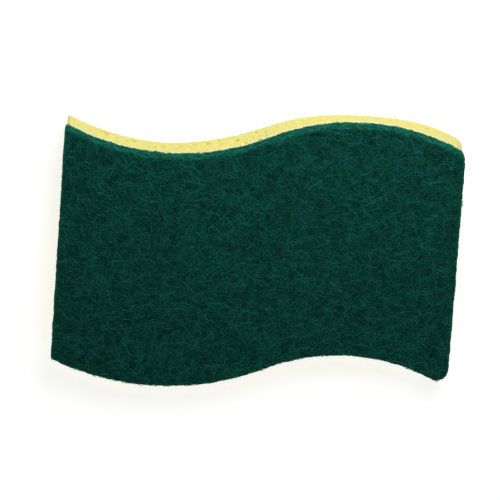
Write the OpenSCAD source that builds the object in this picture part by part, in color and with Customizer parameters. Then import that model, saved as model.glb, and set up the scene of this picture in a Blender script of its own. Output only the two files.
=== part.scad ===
// A wave-cut scrub sponge: a scouring pad of green nonwoven web, bonded on a block of yellow cellulose
// sponge. It lies on its cellulose face. X runs along its length, Y across it and Z up.
// The origin is in the middle of the face that it lies on.

/* [Outline] */
// Length of the pad between its two straight ends
pad_length = 114.3; // [90:0.1:150]
// Width along Y between the two hollows, and between the two crests
sponge_width = 68.6; // [50:0.1:90]
// Height of the wave in each long edge, from its hollow to its crest
wave_height = 12.8; // [6:0.1:16]
// Distance along X from the lowest point of the hollow to the highest point of the crest
wave_run = 56; // [50:0.1:62]
// How far the middle of the wave lies to the right of the middle of the pad
wave_shift = 0.4; // [-3:0.1:3]
// Radius of the hollow as a multiple of the radius of the crest, in the back edge
back_hollow_to_crest = 1.05; // [0.9:0.01:1.2]
// The same in the front edge
front_hollow_to_crest = 1.36; // [1.1:0.01:1.5]
// Corner radius at the left end
left_corner_r = 0.6; // [0.4:0.1:4]
// Corner radius at the right end
right_corner_r = 3.4; // [0.4:0.1:4]

/* [Layers] */
// Thickness of the scouring pad
pad_thickness = 5.8; // [3:0.1:12]
// Thickness of the cured adhesive between the two layers
adhesive_thickness = 0.4; // [0.2:0.05:1]
// Thickness of the cellulose block
cellulose_thickness = 9; // [7:0.1:20]
// How far each end of the cellulose has drawn back from the end of the pad
cellulose_setback = 0.6; // [0:0.1:2]

/* [Pores] */
// Radius of the smallest pore
pore_min_r = 0.7; // [0.4:0.05:0.9]
// Radius of the largest pore
pore_max_r = 2.1; // [1:0.05:2.4]
// Distance between neighbouring pores in the resting face
face_pore_pitch = 11; // [8:0.1:20]
// Distance between neighbouring pores along the cut edges
edge_pore_pitch = 9.5; // [6:0.1:20]
// Least wall between neighbouring pores, and between a pore and the corners of the block
pore_wall = 0.4; // [0.3:0.1:1]
// Choice of where the pores fall
pore_seed = 11; // [1:1:50]

/* [Hidden] */

// Facets of a whole turn on the long arcs, on the rounded corners and on the pores
$fn = 120;
corner_facets = 32;
pore_facets = 13;
// How far below its opening the middle of a pore lies, in radii
pore_sink = 0.1;
// Small pores are the most common, so the random share of a pore's size is raised to this power
pore_size_power = 1.6;
// Rows of pores in the resting face are shifted by this share of the pitch, one way and the other
face_stagger = 0.25;
// Each family of pores takes its random numbers from its own stretch, counted from here
face_draws = 100;
side_draws = 300;
end_draws = 500;
// How far each rounded corner stands proud of the edges that it joins, so that they cross cleanly
corner_lap = 0.004;
// How far a cut-off corner tip reaches, in corner radii
tip_reach = 3;
// A cut that runs past what it cuts goes this far
over = 1;

// One hollow and one crest fill each long edge. An edge is 1 at the back, at +Y, and -1 at the front.
// Both edges have their hollows and crests at the same X, and the same slope where the arcs meet.
hollow_x = wave_shift - wave_run / 2;
crest_x = wave_shift + wave_run / 2;
arc_r_sum = (pow(wave_run, 2) + pow(wave_height, 2)) / (2 * wave_height);
meet_slope = asin(wave_run / arc_r_sum);

function hollow_to_crest(edge) = edge > 0 ? back_hollow_to_crest : front_hollow_to_crest;
function crest_r(edge) = arc_r_sum / (1 + hollow_to_crest(edge));
function hollow_r(edge) = arc_r_sum - crest_r(edge);
function hollow_centre(edge) = [hollow_x, (edge * sponge_width - wave_height) / 2 + hollow_r(edge)];
function crest_centre(edge) = [crest_x, (edge * sponge_width + wave_height) / 2 - crest_r(edge)];

// Where the hollow of an edge runs into its crest
function meet(edge) = hollow_centre(edge) + hollow_r(edge) * [sin(meet_slope), -cos(meet_slope)];

// Y of a long edge at x, and its slope angle there
function edge_y(x, edge) = x < meet(edge).x
    ? hollow_centre(edge).y - sqrt(pow(hollow_r(edge), 2) - pow(x - hollow_x, 2))
    : crest_centre(edge).y + sqrt(pow(crest_r(edge), 2) - pow(x - crest_x, 2));
function edge_angle(x, edge) = x < meet(edge).x
    ? asin((x - hollow_x) / hollow_r(edge))
    : -asin((x - crest_x) / crest_r(edge));
function middle_y(x) = (edge_y(x, 1) + edge_y(x, -1)) / 2;

cellulose_length = pad_length - 2 * cellulose_setback;
sheet_height = sponge_width + 2 * wave_height;

// A disc whose rim passes through the place where the arcs of an edge meet: it is the hollow (side 1) or
// the crest (side -1)
module arc_disc(side, r) {
    rotate(meet_slope)
        translate([0, side * r])
            circle(r);
}

// A block beside the place where the arcs meet, on the left (side -1) or the right (side 1)
module beside_meet(side) {
    translate([side < 0 ? -pad_length : 0, -sheet_height])
        square([pad_length, sheet_height + wave_height]);
}

// What lies in front of a long edge, as far as a sheet's height
module sheet_up_to(edge) {
    translate(meet(edge)) {
        difference() {
            beside_meet(-1);
            arc_disc(1, hollow_r(edge));
        }
        intersection() {
            beside_meet(1);
            arc_disc(-1, crest_r(edge));
        }
    }
}

// A corner is inside the arc of its edge where the edge bulges outwards there
function corner_inside(end, edge) = end == edge;
function corner_r(end) = end < 0 ? left_corner_r : right_corner_r;
function corner_arc_centre(end, edge) = end < 0 ? hollow_centre(edge) : crest_centre(edge);

// Middle of the disc that rounds a corner: one radius in from the end, and touching the edge's arc
function corner_centre(length, end, edge) =
    let (
        c = corner_r(end),
        arc = corner_arc_centre(end, edge),
        arc_r = end < 0 ? hollow_r(edge) : crest_r(edge),
        r = corner_inside(end, edge) ? arc_r - c : arc_r + c,
        x = end * (length / 2 - c)
    )
    [x, arc.y + end * sqrt(pow(r, 2) - pow(x - arc.x, 2))];

// Direction from that middle square to the edge, out of the sheet
function corner_normal(length, end, edge) =
    let (
        v = corner_centre(length, end, edge) - corner_arc_centre(end, edge),
        outward = corner_inside(end, edge) ? 1 : -1
    )
    outward * v / norm(v);

// The sharp tip that the rounding takes off
module corner_tip(length, end, edge) {
    c = corner_r(end);
    across = corner_normal(length, end, edge);
    along = [end, 0];
    translate(corner_centre(length, end, edge))
        polygon(tip_reach * c * [[0, 0], across, across + along, along]);
}

// The outline that both layers share, between ends that lie this length apart
module outline(length) {
    intersection() {
        difference() {
            sheet_up_to(1);
            sheet_up_to(-1);
        }
        square([length, 2 * sheet_height], center = true);
        union() {
            difference() {
                square([length + 2 * over, 2 * sheet_height], center = true);
                for (end = [-1, 1], edge = [-1, 1])
                    corner_tip(length, end, edge);
            }
            for (end = [-1, 1], edge = [-1, 1])
                translate(corner_centre(length, end, edge))
                    circle(corner_r(end) + corner_lap, $fn = corner_facets);
        }
    }
}

function pore_r(share) = pore_min_r + (pore_max_r - pore_min_r) * pow(share, pore_size_power);

// Three random numbers for one pore: its size from 0 to 1, then two shifts from -1 to 1
function pore_draw(i) = let (v = rands(0, 1, 3, pore_seed + i)) [v[0], 2 * v[1] - 1, 2 * v[2] - 1];

// Pores keep clear of the block's corners by this much, and fill what is left of each face
pore_margin = pore_max_r + pore_wall;
pore_span_x = cellulose_length - 2 * pore_margin;
pore_span_y = sponge_width - 2 * pore_margin;
pore_span_z = cellulose_thickness - 2 * pore_margin;

// How far a pore may stray from its place in the pattern before it could meet its neighbour
function pore_jitter(pitch) = (pitch - pore_wall) / 2 - pore_max_r;
function pore_station(i, count, pitch, shift) = (i - (count - 1) / 2) * pitch + pore_jitter(pitch) * shift;

// Each pore is the place where it opens, the turn that faces it out of the surface there, and its radius.
// Those in the resting face stand in staggered rows that follow the middle line between the long edges.
face_rows = floor(pore_span_y / face_pore_pitch);
face_columns = floor(pore_span_x / face_pore_pitch - 2 * face_stagger);

function face_pore(row, column, draw) =
    let (
        stagger = face_stagger * (row % 2 == 0 ? 1 : -1),
        x = pore_station(column + stagger, face_columns, face_pore_pitch, draw[1]),
        y = pore_station(row, face_rows, face_pore_pitch, draw[2])
    )
    [[x, middle_y(x) + y, 0], [180, 0, 0], pore_r(draw[0])];

// Those in the cut edges stand in one row, at random heights
side_count = floor(pore_span_x / edge_pore_pitch);
end_count = floor(pore_span_y / edge_pore_pitch);

function edge_pore_z(shift) = (cellulose_thickness + pore_span_z * shift) / 2;

function side_pore(i, edge, draw) =
    let (x = pore_station(i, side_count, edge_pore_pitch, draw[1]))
    [[x, edge_y(x, edge), edge_pore_z(draw[2])], [-90 * edge, 0, edge_angle(x, edge)], pore_r(draw[0])];

function end_pore(i, end, draw) =
    let (
        x = end * cellulose_length / 2,
        y = pore_station(i, end_count, edge_pore_pitch, draw[1])
    )
    [[x, middle_y(x) + y, edge_pore_z(draw[2])], [0, 90 * end, 0], pore_r(draw[0])];

pores = concat(
    [
        for (row = [0:face_rows - 1], column = [0:face_columns - 1])
            face_pore(row, column, pore_draw(face_draws + row * face_columns + column))
    ],
    [
        for (edge = [-1, 1], i = [0:side_count - 1])
            side_pore(i, edge, pore_draw(side_draws + edge * side_count + i))
    ],
    [
        for (end = [-1, 1], i = [0:end_count - 1])
            end_pore(i, end, pore_draw(end_draws + end * end_count + i))
    ]
);

// A pore is a round bubble that the surface cuts a little above its middle
module pore(place, facing, r) {
    translate(place)
        rotate(facing)
            translate([0, 0, -pore_sink * r])
                sphere(r, $fn = pore_facets);
}

module cellulose_sponge() {
    color([0.93, 0.88, 0.52])
        difference() {
            linear_extrude(cellulose_thickness)
                outline(cellulose_length);
            for (p = pores)
                pore(p[0], p[1], p[2]);
        }
}

module adhesive_film() {
    color([0.78, 0.86, 0.62])
        translate([0, 0, cellulose_thickness])
            linear_extrude(adhesive_thickness)
                outline(cellulose_length);
}

module scouring_pad() {
    color([0.03, 0.25, 0.2])
        translate([0, 0, cellulose_thickness + adhesive_thickness])
            linear_extrude(pad_thickness)
                outline(pad_length);
}

cellulose_sponge();
adhesive_film();
scouring_pad();
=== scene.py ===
"""Dresses the wave-cut scrub sponge: a web of bonded green fibres on open-pored yellow cellulose.

Every size is in metres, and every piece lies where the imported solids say.
"""

import math

import bmesh
import bpy
from mathutils import Matrix, Vector, noise
from mathutils.bvhtree import BVHTree


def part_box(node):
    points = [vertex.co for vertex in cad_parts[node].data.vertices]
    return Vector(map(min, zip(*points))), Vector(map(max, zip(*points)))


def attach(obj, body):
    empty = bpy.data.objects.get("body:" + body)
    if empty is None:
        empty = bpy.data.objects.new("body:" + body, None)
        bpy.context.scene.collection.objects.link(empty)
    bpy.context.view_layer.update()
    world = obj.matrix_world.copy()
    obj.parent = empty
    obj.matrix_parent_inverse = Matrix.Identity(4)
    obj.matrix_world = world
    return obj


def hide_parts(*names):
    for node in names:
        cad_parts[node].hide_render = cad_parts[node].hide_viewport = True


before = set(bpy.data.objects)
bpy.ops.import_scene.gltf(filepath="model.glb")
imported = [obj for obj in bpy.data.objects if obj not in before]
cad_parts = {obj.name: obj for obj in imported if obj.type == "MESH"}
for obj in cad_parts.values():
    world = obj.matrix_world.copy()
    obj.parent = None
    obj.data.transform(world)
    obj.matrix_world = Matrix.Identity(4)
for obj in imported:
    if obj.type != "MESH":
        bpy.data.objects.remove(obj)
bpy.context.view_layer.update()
foam_low, foam_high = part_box("cellulose_sponge")
bond_low, bond_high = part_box("adhesive_film")
pad_low, pad_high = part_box("scouring_pad")

MM = 0.001
SEED = 7

# Points of a CAD node's loose triangles that lie nearer than this are one point
MERGE_DISTANCE = 0.0005 * MM
# Faces of a node that look up by more than this are its flat top
TOP_UPWARD = 0.9

# Radius of the pad's upper rim, and the steps it is turned in
RIM_RADIUS = 0.8 * MM
RIM_STEPS = 5
# Distance between the points of its outline, and the voxel size of its core
PAD_OUTLINE_STEP = 0.5 * MM
CORE_VOXEL = 0.6 * MM

# How far the web stands out from its solid at the ends, where it has drawn in, at the back edge and at
# the front edge
PROUD_AT_ENDS = -0.10 * MM
PROUD_AT_BACK = 0.02 * MM
PROUD_AT_FRONT = 0.25 * MM

# The foam's back edge leans out on one side of this place along X and in on the other
LEAN_MIDDLE = 10 * MM
LEAN_LENGTH = 72 * MM
LEAN_MOST = 0.9 * MM

# Every random draw has its own number, so that no two of them follow each other
DRAW_STRAND = 1
DRAW_DEPTH = 2
DRAW_YAW = 3
DRAW_LENGTH = 4
DRAW_TURN = 5
DRAW_SIZE = 6
DRAW_STRETCH = 7

# A strand is laid with this many points, bent and cut, and then drawn again with points this far apart.
# What the cut leaves shorter than the least length is dropped.
STRAND_POINTS = 28
STRAND_STEP = 0.65 * MM
STRAND_LEAST = 1.0 * MM
STRAND_SIDES = 3
# The shortest and longest strand as shares of its layer's length, and the thinnest and thickest as shares
# of its thickness
STRAND_LENGTHS = (0.55, 1.25)
STRAND_SWELL = (0.65, 1.35)
# How far apart two strands lie in the noise that bends them, so that each bends in its own way
CRIMP_APART = 900.0
WEAVE_APART = 500.0
# Few strands stand loose, so the strand's random share is raised to this power
LOOSE_POWER = 12.0
# The cut edges of the pad are its faces that look up by less than this, either way
WALL_UPWARD = 0.5
# No face looks up by more than 1, so below this all of them pass
ANY_UPWARD = 1.1
# The matting sinks by its face inset where it lies level, and by its wall inset where it looks up by less
# than this
MATTING_LEVEL = 0.8

# Pores open in faces that look up by less than this, and keep clear of the edges that turn by more than
# this angle
PORE_UPWARD = 0.5
BLOCK_EDGE_ANGLE = 1.0
# Small pores are the most common, so the random share of a pore's size is raised to this power
PORE_SIZE_POWER = 1.7
# The least and the greatest share of its radius that a pore reaches in each direction, and how far from
# end to end, and at what scale, its wall is pushed in and out
PORE_STRETCH = (0.7, 1.15)
PORE_UNEVEN = 0.5 * MM
PORE_UNEVEN_SCALE = 1300.0
# A point nearer to the plain block than this is on it, and foam shades smooth up to this angle
ON_BLOCK = 0.02 * MM
CRISP_ANGLE = math.radians(40)

# Bead of adhesive: its bulge, how far it wells over each layer, its rows, and the distance between the
# points along it
BEAD = 0.25 * MM
SPILL = 0.15 * MM
BEAD_ROWS = 6
BOND_OUTLINE_STEP = 0.35 * MM
# The bulge is the even share of the bead, and the uneven share times a noise of this scale
BEAD_EVEN = 0.8
BEAD_UNEVEN = 1.3
BEAD_SCALE = 600

# The camera stands above the pad, towards its back edge, and is turned a little
CAMERA_TILT = math.radians(18.5)
CAMERA_TURN = math.radians(3.87)
CAMERA_DISTANCE = 2.0
IMAGE_SIDE = 500
PIXELS_PER_METRE = 3475
ORIGIN_PIXEL = (257.3, 241.0)
SENSOR_WIDTH = 36

# Light: a soft lamp close above the back edge, a low one beyond the front edge, and a pale surround. It is
# brightest at the horizon and below, where the cut edges and the resting face see it, and falls off to the
# light above at this height.
BACK_LAMP = {"direction": (0.12, 0.68, 0.72), "distance": 0.20, "side": 0.16, "power": 0.31}
FRONT_LAMP = {"direction": (-0.10, -0.96, 0.20), "distance": 0.60, "side": 0.20, "power": 1.15}
SURROUND_ABOVE = 0.22
SURROUND_BELOW = 0.80
SURROUND_HEIGHT = 0.5

# The floor lies a hair below the foam. A ray that has come less far than FLOOR_PASSES when it meets the floor
# goes through it, so that the resting face and its pores are lit from below.
FLOOR_SIDE = 6
FLOOR_LIFT = 0.62
FLOOR_GAP = 0.1 * MM
FLOOR_PASSES = 2.5 * MM

# Colours, in linear light
FIBRE_DARK = (0.001, 0.044, 0.030, 1)
FIBRE_LIGHT = (0.005, 0.146, 0.108, 1)
LOW_FIBRE_DARK = (0.003, 0.046, 0.026, 1)
LOW_FIBRE_LIGHT = (0.006, 0.148, 0.092, 1)
# The matting is darker than the strands: painted shade in the depths of the web, under the strands
MATTING_DARK = (0.001, 0.024, 0.016, 1)
MATTING_LIGHT = (0.004, 0.074, 0.052, 1)
# The cut edges' strands are lighter than the face's: partly the paler cut ends, partly painted light of a lit
# edge
CUT_AND_LIT_FIBRE_DARK = (0.001, 0.105, 0.064, 1)
CUT_AND_LIT_FIBRE_LIGHT = (0.004, 0.225, 0.146, 1)
FOAM_PALE = (0.87, 0.80, 0.29, 1)
FOAM_DEEP = (0.84, 0.76, 0.22, 1)
PORE_PALE = (0.88, 0.81, 0.28, 1)
PORE_DEEP = (0.83, 0.74, 0.20, 1)
BOND_PALE = (0.78, 0.83, 0.48, 1)
BOND_DEEP = (0.56, 0.67, 0.34, 1)
FLOOR_COLOUR = (0.82, 0.82, 0.82, 1)
WHITE = (1, 1, 1, 1)

# Patches of colour: the scale of the fine ones and of the broad ones, and the share of the broad ones
WEB_PATCHES = (1500.0, 500.0, 0.55)
FOAM_PATCHES = (700.0, 45.0, 0.5)
BOND_PATCHES = (1200.0, 120.0, 0.4)
# Noise between these two values runs from a patch's low colour to its high one
PATCH_SPREAD = (0.34, 0.66)
# How much a strand's own tone shifts the patches, and how much painted shade shifts the matting's: darker
# where it lies deep, lighter where it stands high
STRAND_TONE = 0.22
MATTING_DEPTH_SHADE = 0.4

# Fine crust: the scale of its cells and of its noise, and its height
FIBRE_CRUST = (9000.0, 20000.0, 0.03 * MM)
MATTING_CRUST = (4500.0, 12000.0, 0.12 * MM)
FOAM_CRUST = (3200.0, 7000.0, 0.10 * MM)
BOND_CRUST = (2500.0, 6000.0, 0.05 * MM)
# Share of the noise in the crust's height, beside its cells
CRUST_NOISE = 0.6


# Small helpers for node trees

def add(tree, kind, inputs=(), **settings):
    """Add a node. Its inputs, named by identifier, take a plain value or another node's output."""
    made = tree.nodes.new(kind)
    for name, value in settings.items():
        setattr(made, name, value)
    sockets = {s.identifier: s for s in made.inputs}
    for name, value in dict(inputs).items():
        if isinstance(value, bpy.types.NodeSocket):
            tree.links.new(value, sockets[name])
        else:
            sockets[name].default_value = value
    return made


def out(made, name):
    return next(s for s in made.outputs if s.identifier == name)


def calc(tree, operation, *values):
    inputs = zip(("Value", "Value_001", "Value_002"), values)
    return out(add(tree, "ShaderNodeMath", inputs, operation=operation), "Value")


def calc_vector(tree, operation, *values):
    inputs = zip(("Vector", "Vector_001", "Vector_002"), values)
    return out(add(tree, "ShaderNodeVectorMath", inputs, operation=operation), "Vector")


def scaled(tree, vector, factor):
    inputs = {"Vector": vector, "Scale": factor}
    return out(add(tree, "ShaderNodeVectorMath", inputs, operation="SCALE"), "Vector")


def z_of(tree, vector):
    return out(add(tree, "ShaderNodeSeparateXYZ", {"Vector": vector}), "Z")


def swing(tree, share, height):
    """A number from 0 to 1 made to swing around zero, by this height from end to end."""
    return calc(tree, "MULTIPLY", calc(tree, "SUBTRACT", share, 0.5), height)


def swing_vector(tree, colour, height):
    """The same for the three channels of a noise, as a vector."""
    return scaled(tree, calc_vector(tree, "SUBTRACT", colour, (0.5, 0.5, 0.5)), height)


def object_place(tree):
    return out(add(tree, "ShaderNodeTexCoord"), "Object")


def new_tree(name, kind, inputs, outputs):
    """A node group with named inputs, as (name, socket type, default), and named outputs."""
    tree = bpy.data.node_groups.new(name, kind)
    for title, socket_type, default in inputs:
        socket = tree.interface.new_socket(title, in_out="INPUT", socket_type=socket_type)
        if default is not None:
            socket.default_value = default
    for title, socket_type in outputs:
        tree.interface.new_socket(title, in_out="OUTPUT", socket_type=socket_type)
    given = tree.nodes.new("NodeGroupInput").outputs
    result = tree.nodes.new("NodeGroupOutput").inputs
    return tree, given, result


def random_number(tree, low, high, seed):
    inputs = {"Min_001": low, "Max_001": high, "Seed": seed}
    return out(add(tree, "FunctionNodeRandomValue", inputs, data_type="FLOAT"), "Value_001")


def random_vector(tree, low, high, seed):
    inputs = {"Min": low, "Max": high, "Seed": seed}
    return out(add(tree, "FunctionNodeRandomValue", inputs, data_type="FLOAT_VECTOR"), "Value")


def attribute(tree, name, data_type="FLOAT"):
    return out(add(tree, "GeometryNodeInputNamedAttribute", {"Name": name}, data_type=data_type), "Attribute")


def stored(tree, geometry, name, value, data_type="FLOAT", domain="POINT"):
    inputs = {"Geometry": geometry, "Name": name, "Value": value}
    made = add(tree, "GeometryNodeStoreNamedAttribute", inputs, data_type=data_type, domain=domain)
    return out(made, "Geometry")


def facing_up(tree):
    """How far a face looks up, from -1 to 1."""
    return z_of(tree, out(add(tree, "GeometryNodeInputNormal"), "Normal"))


def without(tree, geometry, selection, domain):
    inputs = {"Geometry": geometry, "Selection": selection}
    return out(add(tree, "GeometryNodeDeleteGeometry", inputs, domain=domain), "Geometry")


def realized(tree, geometry):
    return out(add(tree, "GeometryNodeRealizeInstances", {"Geometry": geometry}), "Geometry")


def smoothed(tree, mesh):
    return out(add(tree, "GeometryNodeSetShadeSmooth", {"Geometry": mesh}), "Geometry")


def dressed(tree, geometry, material, selection=True):
    """The end of each geometry tree: instances made real, and the material set."""
    inputs = {"Geometry": realized(tree, geometry), "Material": material, "Selection": selection}
    return out(add(tree, "GeometryNodeSetMaterial", inputs), "Geometry")


# Small helpers for objects

def new_object(name, mesh):
    made = bpy.data.objects.new(name, mesh)
    bpy.context.scene.collection.objects.link(made)
    return made


def shape_of_node(node):
    """A copy of a CAD node's shape, its loose triangles merged."""
    shape = bmesh.new()
    shape.from_mesh(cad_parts[node].data)
    bmesh.ops.remove_doubles(shape, verts=shape.verts, dist=MERGE_DISTANCE)
    return shape


def copy_of_node(node, name):
    """A plain object with the shape of a CAD node."""
    shape = shape_of_node(node)
    mesh = bpy.data.meshes.new(name)
    shape.to_mesh(mesh)
    shape.free()
    return new_object(name, mesh)


def grow(piece, tree, values):
    """Put a geometry tree on a piece as its last modifier, with values for its named inputs."""
    modifier = piece.modifiers.new(tree.name, "NODES")
    modifier.node_group = tree
    for item in tree.interface.items_tree:
        if item.in_out == "INPUT" and item.name in values:
            modifier[item.identifier] = values[item.name]


def settle(piece):
    """Turn a piece and its modifiers into a plain mesh."""
    depsgraph = bpy.context.evaluated_depsgraph_get()
    evaluated = piece.evaluated_get(depsgraph)
    mesh = bpy.data.meshes.new_from_object(evaluated, preserve_all_data_layers=True, depsgraph=depsgraph)
    piece.modifiers.clear()
    piece.data = mesh
    mesh.name = piece.name
    return piece


def crisp_edges(piece, angle):
    """Shade a piece smooth, apart from where its material changes or its faces turn by more than an angle."""
    shape = bmesh.new()
    shape.from_mesh(piece.data)
    for face in shape.faces:
        face.smooth = True
    for edge in shape.edges:
        one, other = edge.link_faces
        edge.smooth = one.material_index == other.material_index and edge.calc_face_angle() < angle
    shape.to_mesh(piece.data)
    shape.free()


def finish_piece(piece, replaced=()):
    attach(piece, "root")
    if replaced:
        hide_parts(*replaced)


# Shader node groups

def tone_group():
    """Patches of two colours that run into each other, at two scales."""
    inputs = [
        ("Low Color", "NodeSocketColor", None),
        ("High Color", "NodeSocketColor", None),
        ("Fine Scale", "NodeSocketFloat", 900.0),
        ("Broad Scale", "NodeSocketFloat", 60.0),
        ("Broad Share", "NodeSocketFloat", 0.4),
        ("Bias", "NodeSocketFloat", 0.0),
    ]
    outputs = [("Color", "NodeSocketColor")]
    tree, given, result = new_tree("uneven_tone", "ShaderNodeTree", inputs, outputs)
    place = object_place(tree)
    fine = add(tree, "ShaderNodeTexNoise", {"Vector": place, "Scale": given["Fine Scale"], "Detail": 3})
    broad = add(tree, "ShaderNodeTexNoise", {"Vector": place, "Scale": given["Broad Scale"], "Detail": 2})
    mixed = add(tree, "ShaderNodeMix", {
        "Factor_Float": given["Broad Share"], "A_Float": out(fine, "Fac"), "B_Float": out(broad, "Fac"),
    }, data_type="FLOAT")
    least, most = PATCH_SPREAD
    spread = add(tree, "ShaderNodeMapRange", {
        "Value": calc(tree, "ADD", out(mixed, "Result_Float"), given["Bias"]),
        "From Min": least, "From Max": most,
    })
    colour = add(tree, "ShaderNodeMix", {
        "Factor_Float": out(spread, "Result"), "A_Color": given["Low Color"], "B_Color": given["High Color"],
    }, data_type="RGBA")
    tree.links.new(out(colour, "Result_Color"), result["Color"])
    return tree


def grain_group():
    """Height of a fine crust: small cells with noise over them."""
    inputs = [("Cell Scale", "NodeSocketFloat", 4000.0), ("Noise Scale", "NodeSocketFloat", 9000.0)]
    outputs = [("Height", "NodeSocketFloat")]
    tree, given, result = new_tree("fine_grain", "ShaderNodeTree", inputs, outputs)
    place = object_place(tree)
    cells = add(tree, "ShaderNodeTexVoronoi", {"Vector": place, "Scale": given["Cell Scale"]}, feature="F1")
    fine = add(tree, "ShaderNodeTexNoise", {"Vector": place, "Scale": given["Noise Scale"], "Detail": 3})
    height = calc(tree, "MULTIPLY_ADD", out(fine, "Fac"), CRUST_NOISE, out(cells, "Distance"))
    tree.links.new(height, result["Height"])
    return tree


TONE = tone_group()
GRAIN = grain_group()


# Materials

def new_material(name):
    """A material with nothing in it but a Principled shader."""
    material = bpy.data.materials.new(name)
    material.use_nodes = True
    return material, material.node_tree, material.node_tree.nodes["Principled BSDF"]


def toned(tree, shader, low, high, patches, bias=None):
    """Colour a shader with patches of two colours, shifted by a bias that changes over the surface."""
    made = add(tree, "ShaderNodeGroup", node_tree=TONE)
    names = ("Low Color", "High Color", "Fine Scale", "Broad Scale", "Broad Share")
    for name, value in zip(names, (low, high, *patches)):
        made.inputs[name].default_value = value
    if bias is not None:
        tree.links.new(bias, made.inputs["Bias"])
    tree.links.new(made.outputs["Color"], shader.inputs["Base Color"])


def crusted(tree, shader, crust):
    """Raise a fine crust on a shader's surface."""
    cells, fine, height = crust
    made = add(tree, "ShaderNodeGroup", node_tree=GRAIN)
    made.inputs["Cell Scale"].default_value = cells
    made.inputs["Noise Scale"].default_value = fine
    inputs = {"Height": made.outputs["Height"], "Distance": height, "Strength": 1.0}
    bump = add(tree, "ShaderNodeBump", inputs)
    tree.links.new(out(bump, "Normal"), shader.inputs["Normal"])


def fibre_material(name, dark, light):
    """Bonded fibre: each strand has its own tone, and gritty resin dulls it."""
    material, tree, shader = new_material(name)
    strand = add(tree, "ShaderNodeAttribute", attribute_name="strand")
    toned(tree, shader, dark, light, WEB_PATCHES, swing(tree, out(strand, "Fac"), STRAND_TONE))
    shader.inputs["Roughness"].default_value = 0.72
    shader.inputs["Specular IOR Level"].default_value = 0.1
    crusted(tree, shader, FIBRE_CRUST)
    return material


def matting_material():
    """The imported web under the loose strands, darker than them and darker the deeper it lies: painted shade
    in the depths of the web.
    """
    material, tree, shader = new_material("web_matting")
    height = add(tree, "ShaderNodeAttribute", attribute_name="height")
    # Painted shade: the lower a lump lies, the darker its colour
    shift = swing(tree, out(height, "Fac"), MATTING_DEPTH_SHADE)
    toned(tree, shader, MATTING_DARK, MATTING_LIGHT, WEB_PATCHES, shift)
    shader.inputs["Roughness"].default_value = 0.9
    shader.inputs["Specular IOR Level"].default_value = 0.05
    crusted(tree, shader, MATTING_CRUST)
    return material


def foam_material(name, deep, pale):
    """Dry cellulose: matt and slightly uneven, with pores too fine to model."""
    material, tree, shader = new_material(name)
    toned(tree, shader, deep, pale, FOAM_PATCHES)
    shader.inputs["Roughness"].default_value = 0.95
    shader.inputs["Specular IOR Level"].default_value = 0.2
    crusted(tree, shader, FOAM_CRUST)
    return material


def bond_material():
    """Cured adhesive, soaked a little into both layers."""
    material, tree, shader = new_material("bond_film")
    toned(tree, shader, BOND_DEEP, BOND_PALE, BOND_PATCHES)
    shader.inputs["Roughness"].default_value = 0.5
    crusted(tree, shader, BOND_CRUST)
    return material


def seen_directly(tree):
    """1 for what the camera sees straight, in a reflection or through glass; 0 for light on the object."""
    path = add(tree, "ShaderNodeLightPath")
    straight = calc(tree, "MAXIMUM", out(path, "Is Camera Ray"), out(path, "Is Glossy Ray"))
    return calc(tree, "MAXIMUM", straight, out(path, "Is Transmission Ray"))


def floor_material():
    """White floor that takes the shadow: the camera sees it bright, and sees through it from below."""
    material, tree, shader = new_material("pale_floor")
    shader.inputs["Base Color"].default_value = FLOOR_COLOUR
    shader.inputs["Roughness"].default_value = 1.0
    shader.inputs["Specular IOR Level"].default_value = 0.0
    lift = calc(tree, "MULTIPLY", seen_directly(tree), FLOOR_LIFT)
    glow = add(tree, "ShaderNodeEmission", {"Color": WHITE, "Strength": lift})
    both = add(tree, "ShaderNodeAddShader", {
        "Shader": out(shader, "BSDF"), "Shader_001": out(glow, "Emission"),
    })
    clear = add(tree, "ShaderNodeBsdfTransparent")
    below = out(add(tree, "ShaderNodeNewGeometry"), "Backfacing")
    near = calc(tree, "LESS_THAN", out(add(tree, "ShaderNodeLightPath"), "Ray Length"), FLOOR_PASSES)
    mixed = add(tree, "ShaderNodeMixShader", {
        "Fac": calc(tree, "MAXIMUM", below, near),
        "Shader": out(both, "Shader"), "Shader_001": out(clear, "BSDF"),
    })
    tree.links.new(out(mixed, "Shader"), tree.nodes["Material Output"].inputs["Surface"])
    return material


# Geometry trees

def strand_points(tree, given):
    """Points on the form's faces that look the right way, each with its strand's own random values."""
    upward = facing_up(tree)
    above = calc(tree, "GREATER_THAN", upward, given["Least Upward"])
    beneath = calc(tree, "LESS_THAN", upward, given["Most Upward"])
    spread = add(tree, "GeometryNodeDistributePointsOnFaces", {
        "Mesh": given["Form"], "Selection": calc(tree, "MULTIPLY", above, beneath),
        "Density": given["Density"], "Seed": given["Seed"],
    })
    depth = random_number(tree, given["Deepest"], given["Highest"], DRAW_DEPTH)
    points = stored(tree, out(spread, "Points"), "strand", random_number(tree, 0.0, 1.0, DRAW_STRAND))
    points = stored(tree, points, "depth", depth)
    return stored(tree, points, "facing", out(spread, "Normal"), "FLOAT_VECTOR")


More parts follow.
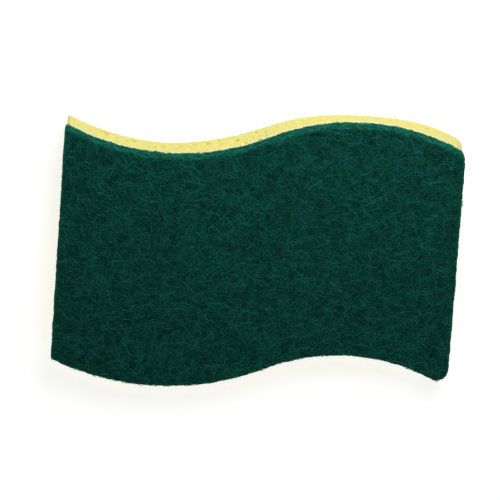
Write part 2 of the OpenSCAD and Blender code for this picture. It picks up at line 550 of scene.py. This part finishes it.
def straight_strands(tree, given, points, facing):
    """A straight strand on each point, flat on the surface and turned at random."""
    line = add(tree, "GeometryNodeCurvePrimitiveLine", {"Start": (-0.5, 0, 0), "End": (0.5, 0, 0)})
    line = add(tree, "GeometryNodeResampleCurve", {"Curve": out(line, "Curve"), "Count": STRAND_POINTS})
    flat = add(tree, "FunctionNodeAlignRotationToVector", {"Vector": facing}, axis="Z")
    yaw = add(tree, "ShaderNodeCombineXYZ", {"Z": random_number(tree, 0.0, math.tau, DRAW_YAW)})
    yaw = add(tree, "FunctionNodeEulerToRotation", {"Euler": out(yaw, "Vector")})
    turned = add(tree, "FunctionNodeRotateRotation", {
        "Rotation": out(flat, "Rotation"), "Rotate By": out(yaw, "Rotation"),
    }, rotation_space="LOCAL")
    share = random_number(tree, *STRAND_LENGTHS, DRAW_LENGTH)
    laid = add(tree, "GeometryNodeInstanceOnPoints", {
        "Points": points, "Instance": out(line, "Curve"), "Rotation": out(turned, "Rotation"),
        "Scale": calc(tree, "MULTIPLY", given["Length"], share),
    })
    return realized(tree, out(laid, "Instances"))


def own_noise(tree, place, strand, apart, scale, detail):
    """Noise along a strand that no other strand shares."""
    return add(tree, "ShaderNodeTexNoise", {
        "Vector": place, "W": calc(tree, "MULTIPLY", strand, apart), "Scale": scale, "Detail": detail,
    }, noise_dimensions="4D")


def crimped(tree, given, strands, place, strand, facing):
    """Each strand wanders on its own along the surface, and neither in nor out."""
    wander = own_noise(tree, place, strand, CRIMP_APART, given["Crimp Scale"], 1.0)
    wander = swing_vector(tree, out(wander, "Color"), given["Crimp"])
    rise = add(tree, "ShaderNodeVectorMath", {
        "Vector": wander, "Vector_001": facing,
    }, operation="DOT_PRODUCT")
    wander = calc_vector(tree, "SUBTRACT", wander, scaled(tree, facing, out(rise, "Value")))
    return out(add(tree, "GeometryNodeSetPosition", {"Geometry": strands, "Offset": wander}), "Geometry")


def cut_to_form(tree, given, strands, nearest):
    """What runs past the form's faces goes, and so do the short ends that this leaves."""
    past = calc(tree, "GREATER_THAN", out(nearest, "Distance"), given["Reach"])
    strands = without(tree, strands, past, "POINT")
    length = out(add(tree, "GeometryNodeSplineLength"), "Length")
    strands = without(tree, strands, calc(tree, "LESS_THAN", length, STRAND_LEAST), "CURVE")
    inputs = {"Curve": strands, "Length": STRAND_STEP}
    return out(add(tree, "GeometryNodeResampleCurve", inputs, mode="LENGTH"), "Curve")


def woven(tree, given, strands, place, strand, nearest):
    """Each strand hugs the form at its own depth, weaves up and down around it, and a few stand loose."""
    normal = out(add(tree, "GeometryNodeInputNormal"), "Normal")
    outward = add(tree, "GeometryNodeSampleNearestSurface", {
        "Mesh": given["Form"], "Value": normal,
    }, data_type="FLOAT_VECTOR")
    weave = own_noise(tree, place, strand, WEAVE_APART, given["Weave Scale"], 0.0)
    weave = swing(tree, out(weave, "Fac"), given["Weave"])
    loose = calc(tree, "MULTIPLY", calc(tree, "POWER", strand, LOOSE_POWER), given["Loose"])
    height = calc(tree, "ADD", attribute(tree, "depth"), calc(tree, "ADD", weave, loose))
    return out(add(tree, "GeometryNodeSetPosition", {
        "Geometry": strands, "Position": out(nearest, "Position"),
        "Offset": scaled(tree, out(outward, "Value"), height),
    }), "Geometry")


def thickened(tree, given, strands, strand):
    section = add(tree, "GeometryNodeCurvePrimitiveCircle", {"Resolution": STRAND_SIDES, "Radius": 0.5})
    thinnest, thickest = STRAND_SWELL
    swell = add(tree, "ShaderNodeMapRange", {"Value": strand, "To Min": thinnest, "To Max": thickest})
    tubes = add(tree, "GeometryNodeCurveToMesh", {
        "Curve": strands, "Profile Curve": out(section, "Curve"),
        "Scale": calc(tree, "MULTIPLY", given["Thickness"], out(swell, "Result")), "Fill Caps": True,
    })
    return smoothed(tree, out(tubes, "Mesh"))


def strand_tree():
    """Crimped strands that hug a form, each at its own depth, cut off where they run past its faces."""
    inputs = [
        ("Form", "NodeSocketGeometry", None),
        ("Least Upward", "NodeSocketFloat", WALL_UPWARD),
        ("Most Upward", "NodeSocketFloat", ANY_UPWARD),
        ("Density", "NodeSocketFloat", 300000.0),
        ("Length", "NodeSocketFloat", 4.5 * MM),
        ("Thickness", "NodeSocketFloat", 0.15 * MM),
        ("Deepest", "NodeSocketFloat", -0.5 * MM),
        ("Highest", "NodeSocketFloat", 0.1 * MM),
        ("Crimp", "NodeSocketFloat", 4 * MM),
        ("Crimp Scale", "NodeSocketFloat", 450.0),
        ("Weave", "NodeSocketFloat", 0.5 * MM),
        ("Weave Scale", "NodeSocketFloat", 500.0),
        ("Loose", "NodeSocketFloat", 0.3 * MM),
        ("Reach", "NodeSocketFloat", 0.6 * MM),
        ("Seed", "NodeSocketInt", SEED),
        ("Material", "NodeSocketMaterial", None),
    ]
    outputs = [("Strands", "NodeSocketGeometry")]
    tree, given, result = new_tree("web_strands", "GeometryNodeTree", inputs, outputs)
    place = out(add(tree, "GeometryNodeInputPosition"), "Position")
    strand = attribute(tree, "strand")
    facing = attribute(tree, "facing", "FLOAT_VECTOR")
    nearest = add(tree, "GeometryNodeProximity", {"Target": given["Form"]}, target_element="FACES")
    points = strand_points(tree, given)
    strands = straight_strands(tree, given, points, facing)
    strands = crimped(tree, given, strands, place, strand, facing)
    strands = cut_to_form(tree, given, strands, nearest)
    strands = woven(tree, given, strands, place, strand, nearest)
    strands = thickened(tree, given, strands, strand)
    tree.links.new(dressed(tree, strands, given["Material"]), result["Strands"])
    return tree


def matting_tree():
    """Sinks a surface below its strands and makes it lumpy, noting how high each lump stands."""
    inputs = [
        ("Mesh", "NodeSocketGeometry", None),
        ("Face Inset", "NodeSocketFloat", 0.4 * MM),
        ("Wall Inset", "NodeSocketFloat", 0.12 * MM),
        ("Lump Scale", "NodeSocketFloat", 1100.0),
        ("Lump Height", "NodeSocketFloat", 0.45 * MM),
        ("Material", "NodeSocketMaterial", None),
    ]
    outputs = [("Mesh", "NodeSocketGeometry")]
    tree, given, result = new_tree("web_lumps", "GeometryNodeTree", inputs, outputs)
    lumps = out(add(tree, "ShaderNodeTexNoise", {"Scale": given["Lump Scale"], "Detail": 2.0}), "Fac")
    noted = stored(tree, given["Mesh"], "height", lumps)
    rise = swing(tree, lumps, given["Lump Height"])
    normal = out(add(tree, "GeometryNodeInputNormal"), "Normal")
    level = calc(tree, "ABSOLUTE", z_of(tree, normal))
    level = add(tree, "ShaderNodeMapRange", {"Value": level, "From Min": MATTING_LEVEL, "From Max": 1.0})
    inset = add(tree, "ShaderNodeMix", {
        "Factor_Float": out(level, "Result"), "A_Float": given["Wall Inset"], "B_Float": given["Face Inset"],
    }, data_type="FLOAT")
    rise = calc(tree, "SUBTRACT", rise, out(inset, "Result_Float"))
    moved = add(tree, "GeometryNodeSetPosition", {"Geometry": noted, "Offset": scaled(tree, normal, rise)})
    smooth = smoothed(tree, out(moved, "Geometry"))
    tree.links.new(dressed(tree, smooth, given["Material"]), result["Mesh"])
    return tree


def pore_places(tree, given):
    """Points on a block's sides and underside, clear of the block's own edges."""
    spread = add(tree, "GeometryNodeDistributePointsOnFaces", {
        "Mesh": given["Block"], "Selection": calc(tree, "LESS_THAN", facing_up(tree), PORE_UPWARD),
        "Distance Min": given["Spacing"], "Density Max": given["Density"], "Seed": given["Seed"],
    }, distribute_method="POISSON")
    angle = out(add(tree, "GeometryNodeInputMeshEdgeAngle"), "Unsigned Angle")
    edges = without(tree, given["Block"], calc(tree, "LESS_THAN", angle, BLOCK_EDGE_ANGLE), "EDGE")
    nearest = add(tree, "GeometryNodeProximity", {"Target": edges}, target_element="EDGES")
    close = calc(tree, "LESS_THAN", out(nearest, "Distance"), given["Margin"])
    return without(tree, out(spread, "Points"), close, "POINT")


def lumpy_bubbles(tree, given, places):
    """A bubble at each place, with its own size, turn and uneven wall."""
    bubble = add(tree, "GeometryNodeMeshIcoSphere", {"Radius": 1.0, "Subdivisions": given["Facets"]})
    turn = random_vector(tree, (0, 0, 0), (math.tau,) * 3, DRAW_TURN)
    turn = add(tree, "FunctionNodeEulerToRotation", {"Euler": turn})
    size = calc(tree, "POWER", random_number(tree, 0.0, 1.0, DRAW_SIZE), PORE_SIZE_POWER)
    size = add(tree, "ShaderNodeMapRange", {
        "Value": size, "To Min": given["Least Radius"], "To Max": given["Most Radius"],
    })
    narrow, wide = PORE_STRETCH
    stretch = random_vector(tree, (narrow,) * 3, (wide,) * 3, DRAW_STRETCH)
    laid = add(tree, "GeometryNodeInstanceOnPoints", {
        "Points": places, "Instance": out(bubble, "Mesh"),
        "Rotation": out(turn, "Rotation"), "Scale": scaled(tree, stretch, out(size, "Result")),
    })
    uneven = add(tree, "ShaderNodeTexNoise", {"Scale": PORE_UNEVEN_SCALE, "Detail": 1.0})
    bubbles = add(tree, "GeometryNodeSetPosition", {
        "Geometry": realized(tree, out(laid, "Instances")),
        "Offset": swing_vector(tree, out(uneven, "Color"), PORE_UNEVEN),
    })
    return stored(tree, out(bubbles, "Geometry"), "in_pore", True, "BOOLEAN", "FACE")


def pore_tree():
    """Cuts pores of uneven shape into a block, and gives the material to the faces inside them."""
    inputs = [
        ("Block", "NodeSocketGeometry", None),
        ("Spacing", "NodeSocketFloat", 1.6 * MM),
        ("Density", "NodeSocketFloat", 500000.0),
        ("Least Radius", "NodeSocketFloat", 0.25 * MM),
        ("Most Radius", "NodeSocketFloat", 0.7 * MM),
        ("Facets", "NodeSocketInt", 2),
        ("Margin", "NodeSocketFloat", 0.0),
        ("Seed", "NodeSocketInt", SEED),
        ("Material", "NodeSocketMaterial", None),
    ]
    outputs = [("Block", "NodeSocketGeometry")]
    tree, given, result = new_tree("cut_pores", "GeometryNodeTree", inputs, outputs)
    bubbles = lumpy_bubbles(tree, given, pore_places(tree, given))
    cut = add(tree, "GeometryNodeMeshBoolean", {
        "Mesh 1": given["Block"], "Mesh 2": bubbles,
    }, operation="DIFFERENCE", solver="MANIFOLD")
    in_pore = attribute(tree, "in_pore", "BOOLEAN")
    tree.links.new(dressed(tree, out(cut, "Mesh"), given["Material"], in_pore), result["Block"])
    return tree


# Forms with a shared outline

def rim_of(node):
    """The outline of a node's flat top as points in order, anticlockwise from its leftmost one."""
    shape = shape_of_node(node)
    shape.normal_update()
    upper = {face for face in shape.faces if face.normal.z > TOP_UPWARD}
    following = {}
    for face in upper:
        for loop in face.loops:
            if not upper.issuperset(loop.edge.link_faces):
                following[loop.vert] = loop.link_loop_next.vert
    start = min(following, key=lambda vertex: tuple(vertex.co))
    points = [start.co.to_2d()]
    corner = following[start]
    while corner is not start:
        points.append(corner.co.to_2d())
        corner = following[corner]
    shape.free()
    return points


def evenly_spaced(points, step):
    """Points at equal distances along a closed outline."""
    ends = points[1:] + points[:1]
    lengths = [(b - a).length for a, b in zip(points, ends)]
    count = round(sum(lengths) / step)
    spacing = sum(lengths) / count
    made = []
    travelled = 0.0
    for a, b, length in zip(points, ends, lengths):
        while len(made) * spacing < travelled + length and len(made) < count:
            made.append(a.lerp(b, (len(made) * spacing - travelled) / length))
        travelled += length
    return made


def outline_of(node, step):
    """Evenly spaced points along a node's outline, each with the direction out of it."""
    points = evenly_spaced(rim_of(node), step)
    directions = []
    for i, following in enumerate(points[1:] + points[:1]):
        along = (following - points[i - 1]).normalized()
        directions.append(Vector((along.y, -along.x)))
    return list(zip(points, directions))


def lofted(name, rings):
    """A closed form through rings of places that lie above each other, from the lowest to the highest."""
    shape = bmesh.new()
    corners = [[shape.verts.new(place) for place in ring] for ring in rings]
    for lower, upper in zip(corners, corners[1:]):
        for i in range(len(lower)):
            shape.faces.new((lower[i - 1], lower[i], upper[i], upper[i - 1])).smooth = True
    shape.faces.new(corners[-1])
    shape.faces.new(reversed(corners[0]))
    mesh = bpy.data.meshes.new(name)
    shape.to_mesh(mesh)
    shape.free()
    return new_object(name, mesh)


# Pieces

def pad_ring(outline, worn, height):
    """The pad's outline at a height, where this much of its rim is worn away."""
    ring = []
    for point, direction in outline:
        proud = PROUD_AT_BACK if direction.y > 0 else PROUD_AT_FRONT
        reach = Vector((direction.x * PROUD_AT_ENDS, direction.y * proud)) - direction * worn
        ring.append((*(point + reach), height))
    return ring


def pad_form(name):
    """The pad's solid with its upper rim worn round."""
    outline = outline_of("scouring_pad", PAD_OUTLINE_STEP)
    rings = [pad_ring(outline, 0.0, pad_low.z)]
    for step in range(RIM_STEPS + 1):
        angle = math.pi / 2 * step / RIM_STEPS
        worn = RIM_RADIUS * (1 - math.cos(angle))
        rings.append(pad_ring(outline, worn, pad_high.z - RIM_RADIUS * (1 - math.sin(angle))))
    return lofted(name, rings)


def web_core():
    """The matted ground that the strands lie on."""
    core = pad_form("scouring_web_core")
    remesh = core.modifiers.new("remesh", "REMESH")
    remesh.mode = "VOXEL"
    remesh.voxel_size = CORE_VOXEL
    grow(core, matting_tree(), {"Material": matting_material()})
    finish_piece(settle(core), ["scouring_pad"])


def web_strands(name, tree, values):
    """One layer of strands on the pad's form. Its density is in strands for each square metre."""
    form = pad_form(name)
    grow(form, tree, values)
    finish_piece(settle(form))


def scouring_web():
    """The pad: a lumpy matted core under three layers of strands, and lighter strands along its cut edges,
    partly painted light.
    """
    fibre = fibre_material("web_fibre", FIBRE_DARK, FIBRE_LIGHT)
    low_fibre = fibre_material("web_low_fibre", LOW_FIBRE_DARK, LOW_FIBRE_LIGHT)
    cut_and_lit_fibre = fibre_material("web_cut_and_lit_fibre", CUT_AND_LIT_FIBRE_DARK, CUT_AND_LIT_FIBRE_LIGHT)
    tree = strand_tree()
    web_core()
    web_strands("scouring_web_low_strands", tree, {
        "Deepest": -0.45 * MM, "Highest": -0.20 * MM, "Density": 450000.0, "Thickness": 0.16 * MM,
        "Seed": SEED, "Material": low_fibre,
    })
    web_strands("scouring_web_mid_strands", tree, {
        "Deepest": -0.25 * MM, "Highest": 0.0, "Density": 450000.0, "Thickness": 0.15 * MM,
        "Seed": SEED + 1, "Material": fibre,
    })
    web_strands("scouring_web_top_strands", tree, {
        "Deepest": -0.05 * MM, "Highest": 0.12 * MM, "Density": 380000.0, "Thickness": 0.13 * MM,
        "Seed": SEED + 2, "Material": fibre,
    })
    # The edge strands' lighter colours are partly the paler cut ends and partly painted light
    web_strands("scouring_web_edge_strands", tree, {
        "Least Upward": -WALL_UPWARD, "Most Upward": WALL_UPWARD, "Density": 2200000.0,
        "Length": 3.2 * MM, "Thickness": 0.16 * MM, "Deepest": -0.3 * MM, "Highest": 0.05 * MM,
        "Weave": 0.4 * MM, "Loose": 0.15 * MM, "Seed": SEED + 3, "Material": cut_and_lit_fibre,
    })


def mark_hollows(piece):
    """Give a piece's second material to the faces that aren't on the foam's plain block."""
    outline = rim_of("cellulose_sponge")
    count = len(outline)
    corners = [(*point, z) for z in (foam_low.z, foam_high.z) for point in outline]
    sides = [(i, (i + 1) % count, (i + 1) % count + count, i + count) for i in range(count)]
    wall = BVHTree.FromPolygons(corners, sides)
    places = [vertex.co for vertex in piece.data.vertices]
    low = [abs(place.z - foam_low.z) < ON_BLOCK for place in places]
    high = [abs(place.z - foam_high.z) < ON_BLOCK for place in places]
    side = [wall.find_nearest(place)[3] < ON_BLOCK for place in places]
    for face in piece.data.polygons:
        plain = any(all(on[i] for i in face.vertices) for on in (low, high, side))
        face.material_index = 0 if plain else 1


def foam_lean(place):
    """How far the foam's back edge stands out, or has drawn in, towards the face that it rests on."""
    phase = (LEAN_MIDDLE - place.x) / LEAN_LENGTH
    if abs(phase) > 0.5:
        return 0.0
    depth = 1 - place.z / foam_high.z
    return LEAN_MOST * math.sin(math.tau * phase) * depth * max(0.0, place.y / foam_high.y)


def cellulose_foam():
    """The yellow block, with two sizes of pores cut between the large ones."""
    cut_face = foam_material("cellulose_cut_face", FOAM_DEEP, FOAM_PALE)
    hollow = foam_material("cellulose_in_pores", PORE_DEEP, PORE_PALE)
    foam = copy_of_node("cellulose_sponge", "cellulose_foam")
    foam.data.materials.append(cut_face)
    foam.data.materials.append(hollow)
    mark_hollows(foam)
    for vertex in foam.data.vertices:
        vertex.co.y += foam_lean(vertex.co)
    pores = pore_tree()
    grow(foam, pores, {
        "Spacing": 3.0 * MM, "Density": 400000.0, "Least Radius": 0.4 * MM, "Most Radius": 1.1 * MM,
        "Facets": 2, "Margin": 0.9 * MM, "Seed": SEED, "Material": hollow,
    })
    grow(foam, pores, {
        "Spacing": 1.7 * MM, "Density": 900000.0, "Least Radius": 0.2 * MM, "Most Radius": 0.55 * MM,
        "Facets": 1, "Seed": SEED + 1, "Material": hollow,
    })
    crisp_edges(settle(foam), CRISP_ANGLE)
    finish_piece(foam, ["cellulose_sponge"])


def bead_ring(outline, share):
    """The bead's outline at a share of its height: it bulges most halfway up."""
    height = bond_low.z - SPILL + share * (bond_high.z - bond_low.z + 2 * SPILL)
    swell = BEAD * math.sin(math.pi * share)
    ring = []
    for point, direction in outline:
        uneven = noise.noise(Vector((point.x, point.y, height)) * BEAD_SCALE)
        ring.append((*(point + direction * swell * (BEAD_EVEN + BEAD_UNEVEN * uneven)), height))
    return ring


def bond_line():
    """The cured adhesive between the layers, with a slightly uneven bead along its rim."""
    outline = outline_of("adhesive_film", BOND_OUTLINE_STEP)
    rings = [bead_ring(outline, row / BEAD_ROWS) for row in range(BEAD_ROWS + 1)]
    bond = lofted("bond_line", rings)
    bond.data.materials.append(bond_material())
    finish_piece(bond, ["adhesive_film"])


# The stage

def floor():
    bpy.ops.mesh.primitive_plane_add(size=FLOOR_SIDE, location=(0, 0, foam_low.z - FLOOR_GAP))
    plane = bpy.context.object
    plane.name = "floor"
    plane.data.materials.append(floor_material())


def surround():
    """Pale light from all round, brighter from low down, which the camera sees as white."""
    world = bpy.data.worlds.new("surround")
    bpy.context.scene.world = world
    world.use_nodes = True
    tree = world.node_tree
    height = z_of(tree, out(add(tree, "ShaderNodeTexCoord"), "Generated"))
    strength = add(tree, "ShaderNodeMapRange", {
        "Value": height, "From Min": 0.0, "From Max": SURROUND_HEIGHT,
        "To Min": SURROUND_BELOW, "To Max": SURROUND_ABOVE,
    })
    strength = calc(tree, "MAXIMUM", out(strength, "Result"), seen_directly(tree))
    background = tree.nodes["Background"]
    background.inputs["Color"].default_value = WHITE
    tree.links.new(strength, background.inputs["Strength"])


def lamp(name, values):
    """A square lamp that looks at the origin."""
    light = bpy.data.lights.new(name, "AREA")
    light.shape = "SQUARE"
    light.size = values["side"]
    light.energy = values["power"]
    made = bpy.data.objects.new(name, light)
    bpy.context.scene.collection.objects.link(made)
    direction = Vector(values["direction"]).normalized()
    made.location = direction * values["distance"]
    made.rotation_euler = direction.to_track_quat("Z", "Y").to_euler()


def camera():
    """Places the camera so that the sponge's origin falls on its pixel of the photograph."""
    turn, tilt = CAMERA_TURN, CAMERA_TILT
    right = Vector((math.cos(turn), math.sin(turn), 0))
    back = Vector((-math.sin(tilt) * math.sin(turn), math.sin(tilt) * math.cos(turn), math.cos(tilt)))
    up = back.cross(right)
    middle = IMAGE_SIDE / 2
    aim = (right * (middle - ORIGIN_PIXEL[0]) - up * (middle - ORIGIN_PIXEL[1])) / PIXELS_PER_METRE
    data = bpy.data.cameras.new("camera")
    data.sensor_fit = "HORIZONTAL"
    data.sensor_width = SENSOR_WIDTH
    data.lens = PIXELS_PER_METRE * CAMERA_DISTANCE / IMAGE_SIDE * SENSOR_WIDTH
    made = bpy.data.objects.new("camera", data)
    bpy.context.scene.collection.objects.link(made)
    made.location = aim + back * CAMERA_DISTANCE
    made.rotation_euler = Matrix((right, up, back)).transposed().to_euler()
    bpy.context.scene.camera = made


camera()
scouring_web()
cellulose_foam()
bond_line()
floor()
surround()
lamp("back_lamp", BACK_LAMP)
lamp("front_lamp", FRONT_LAMP)
bpy.context.scene.view_settings.view_transform = "Standard"
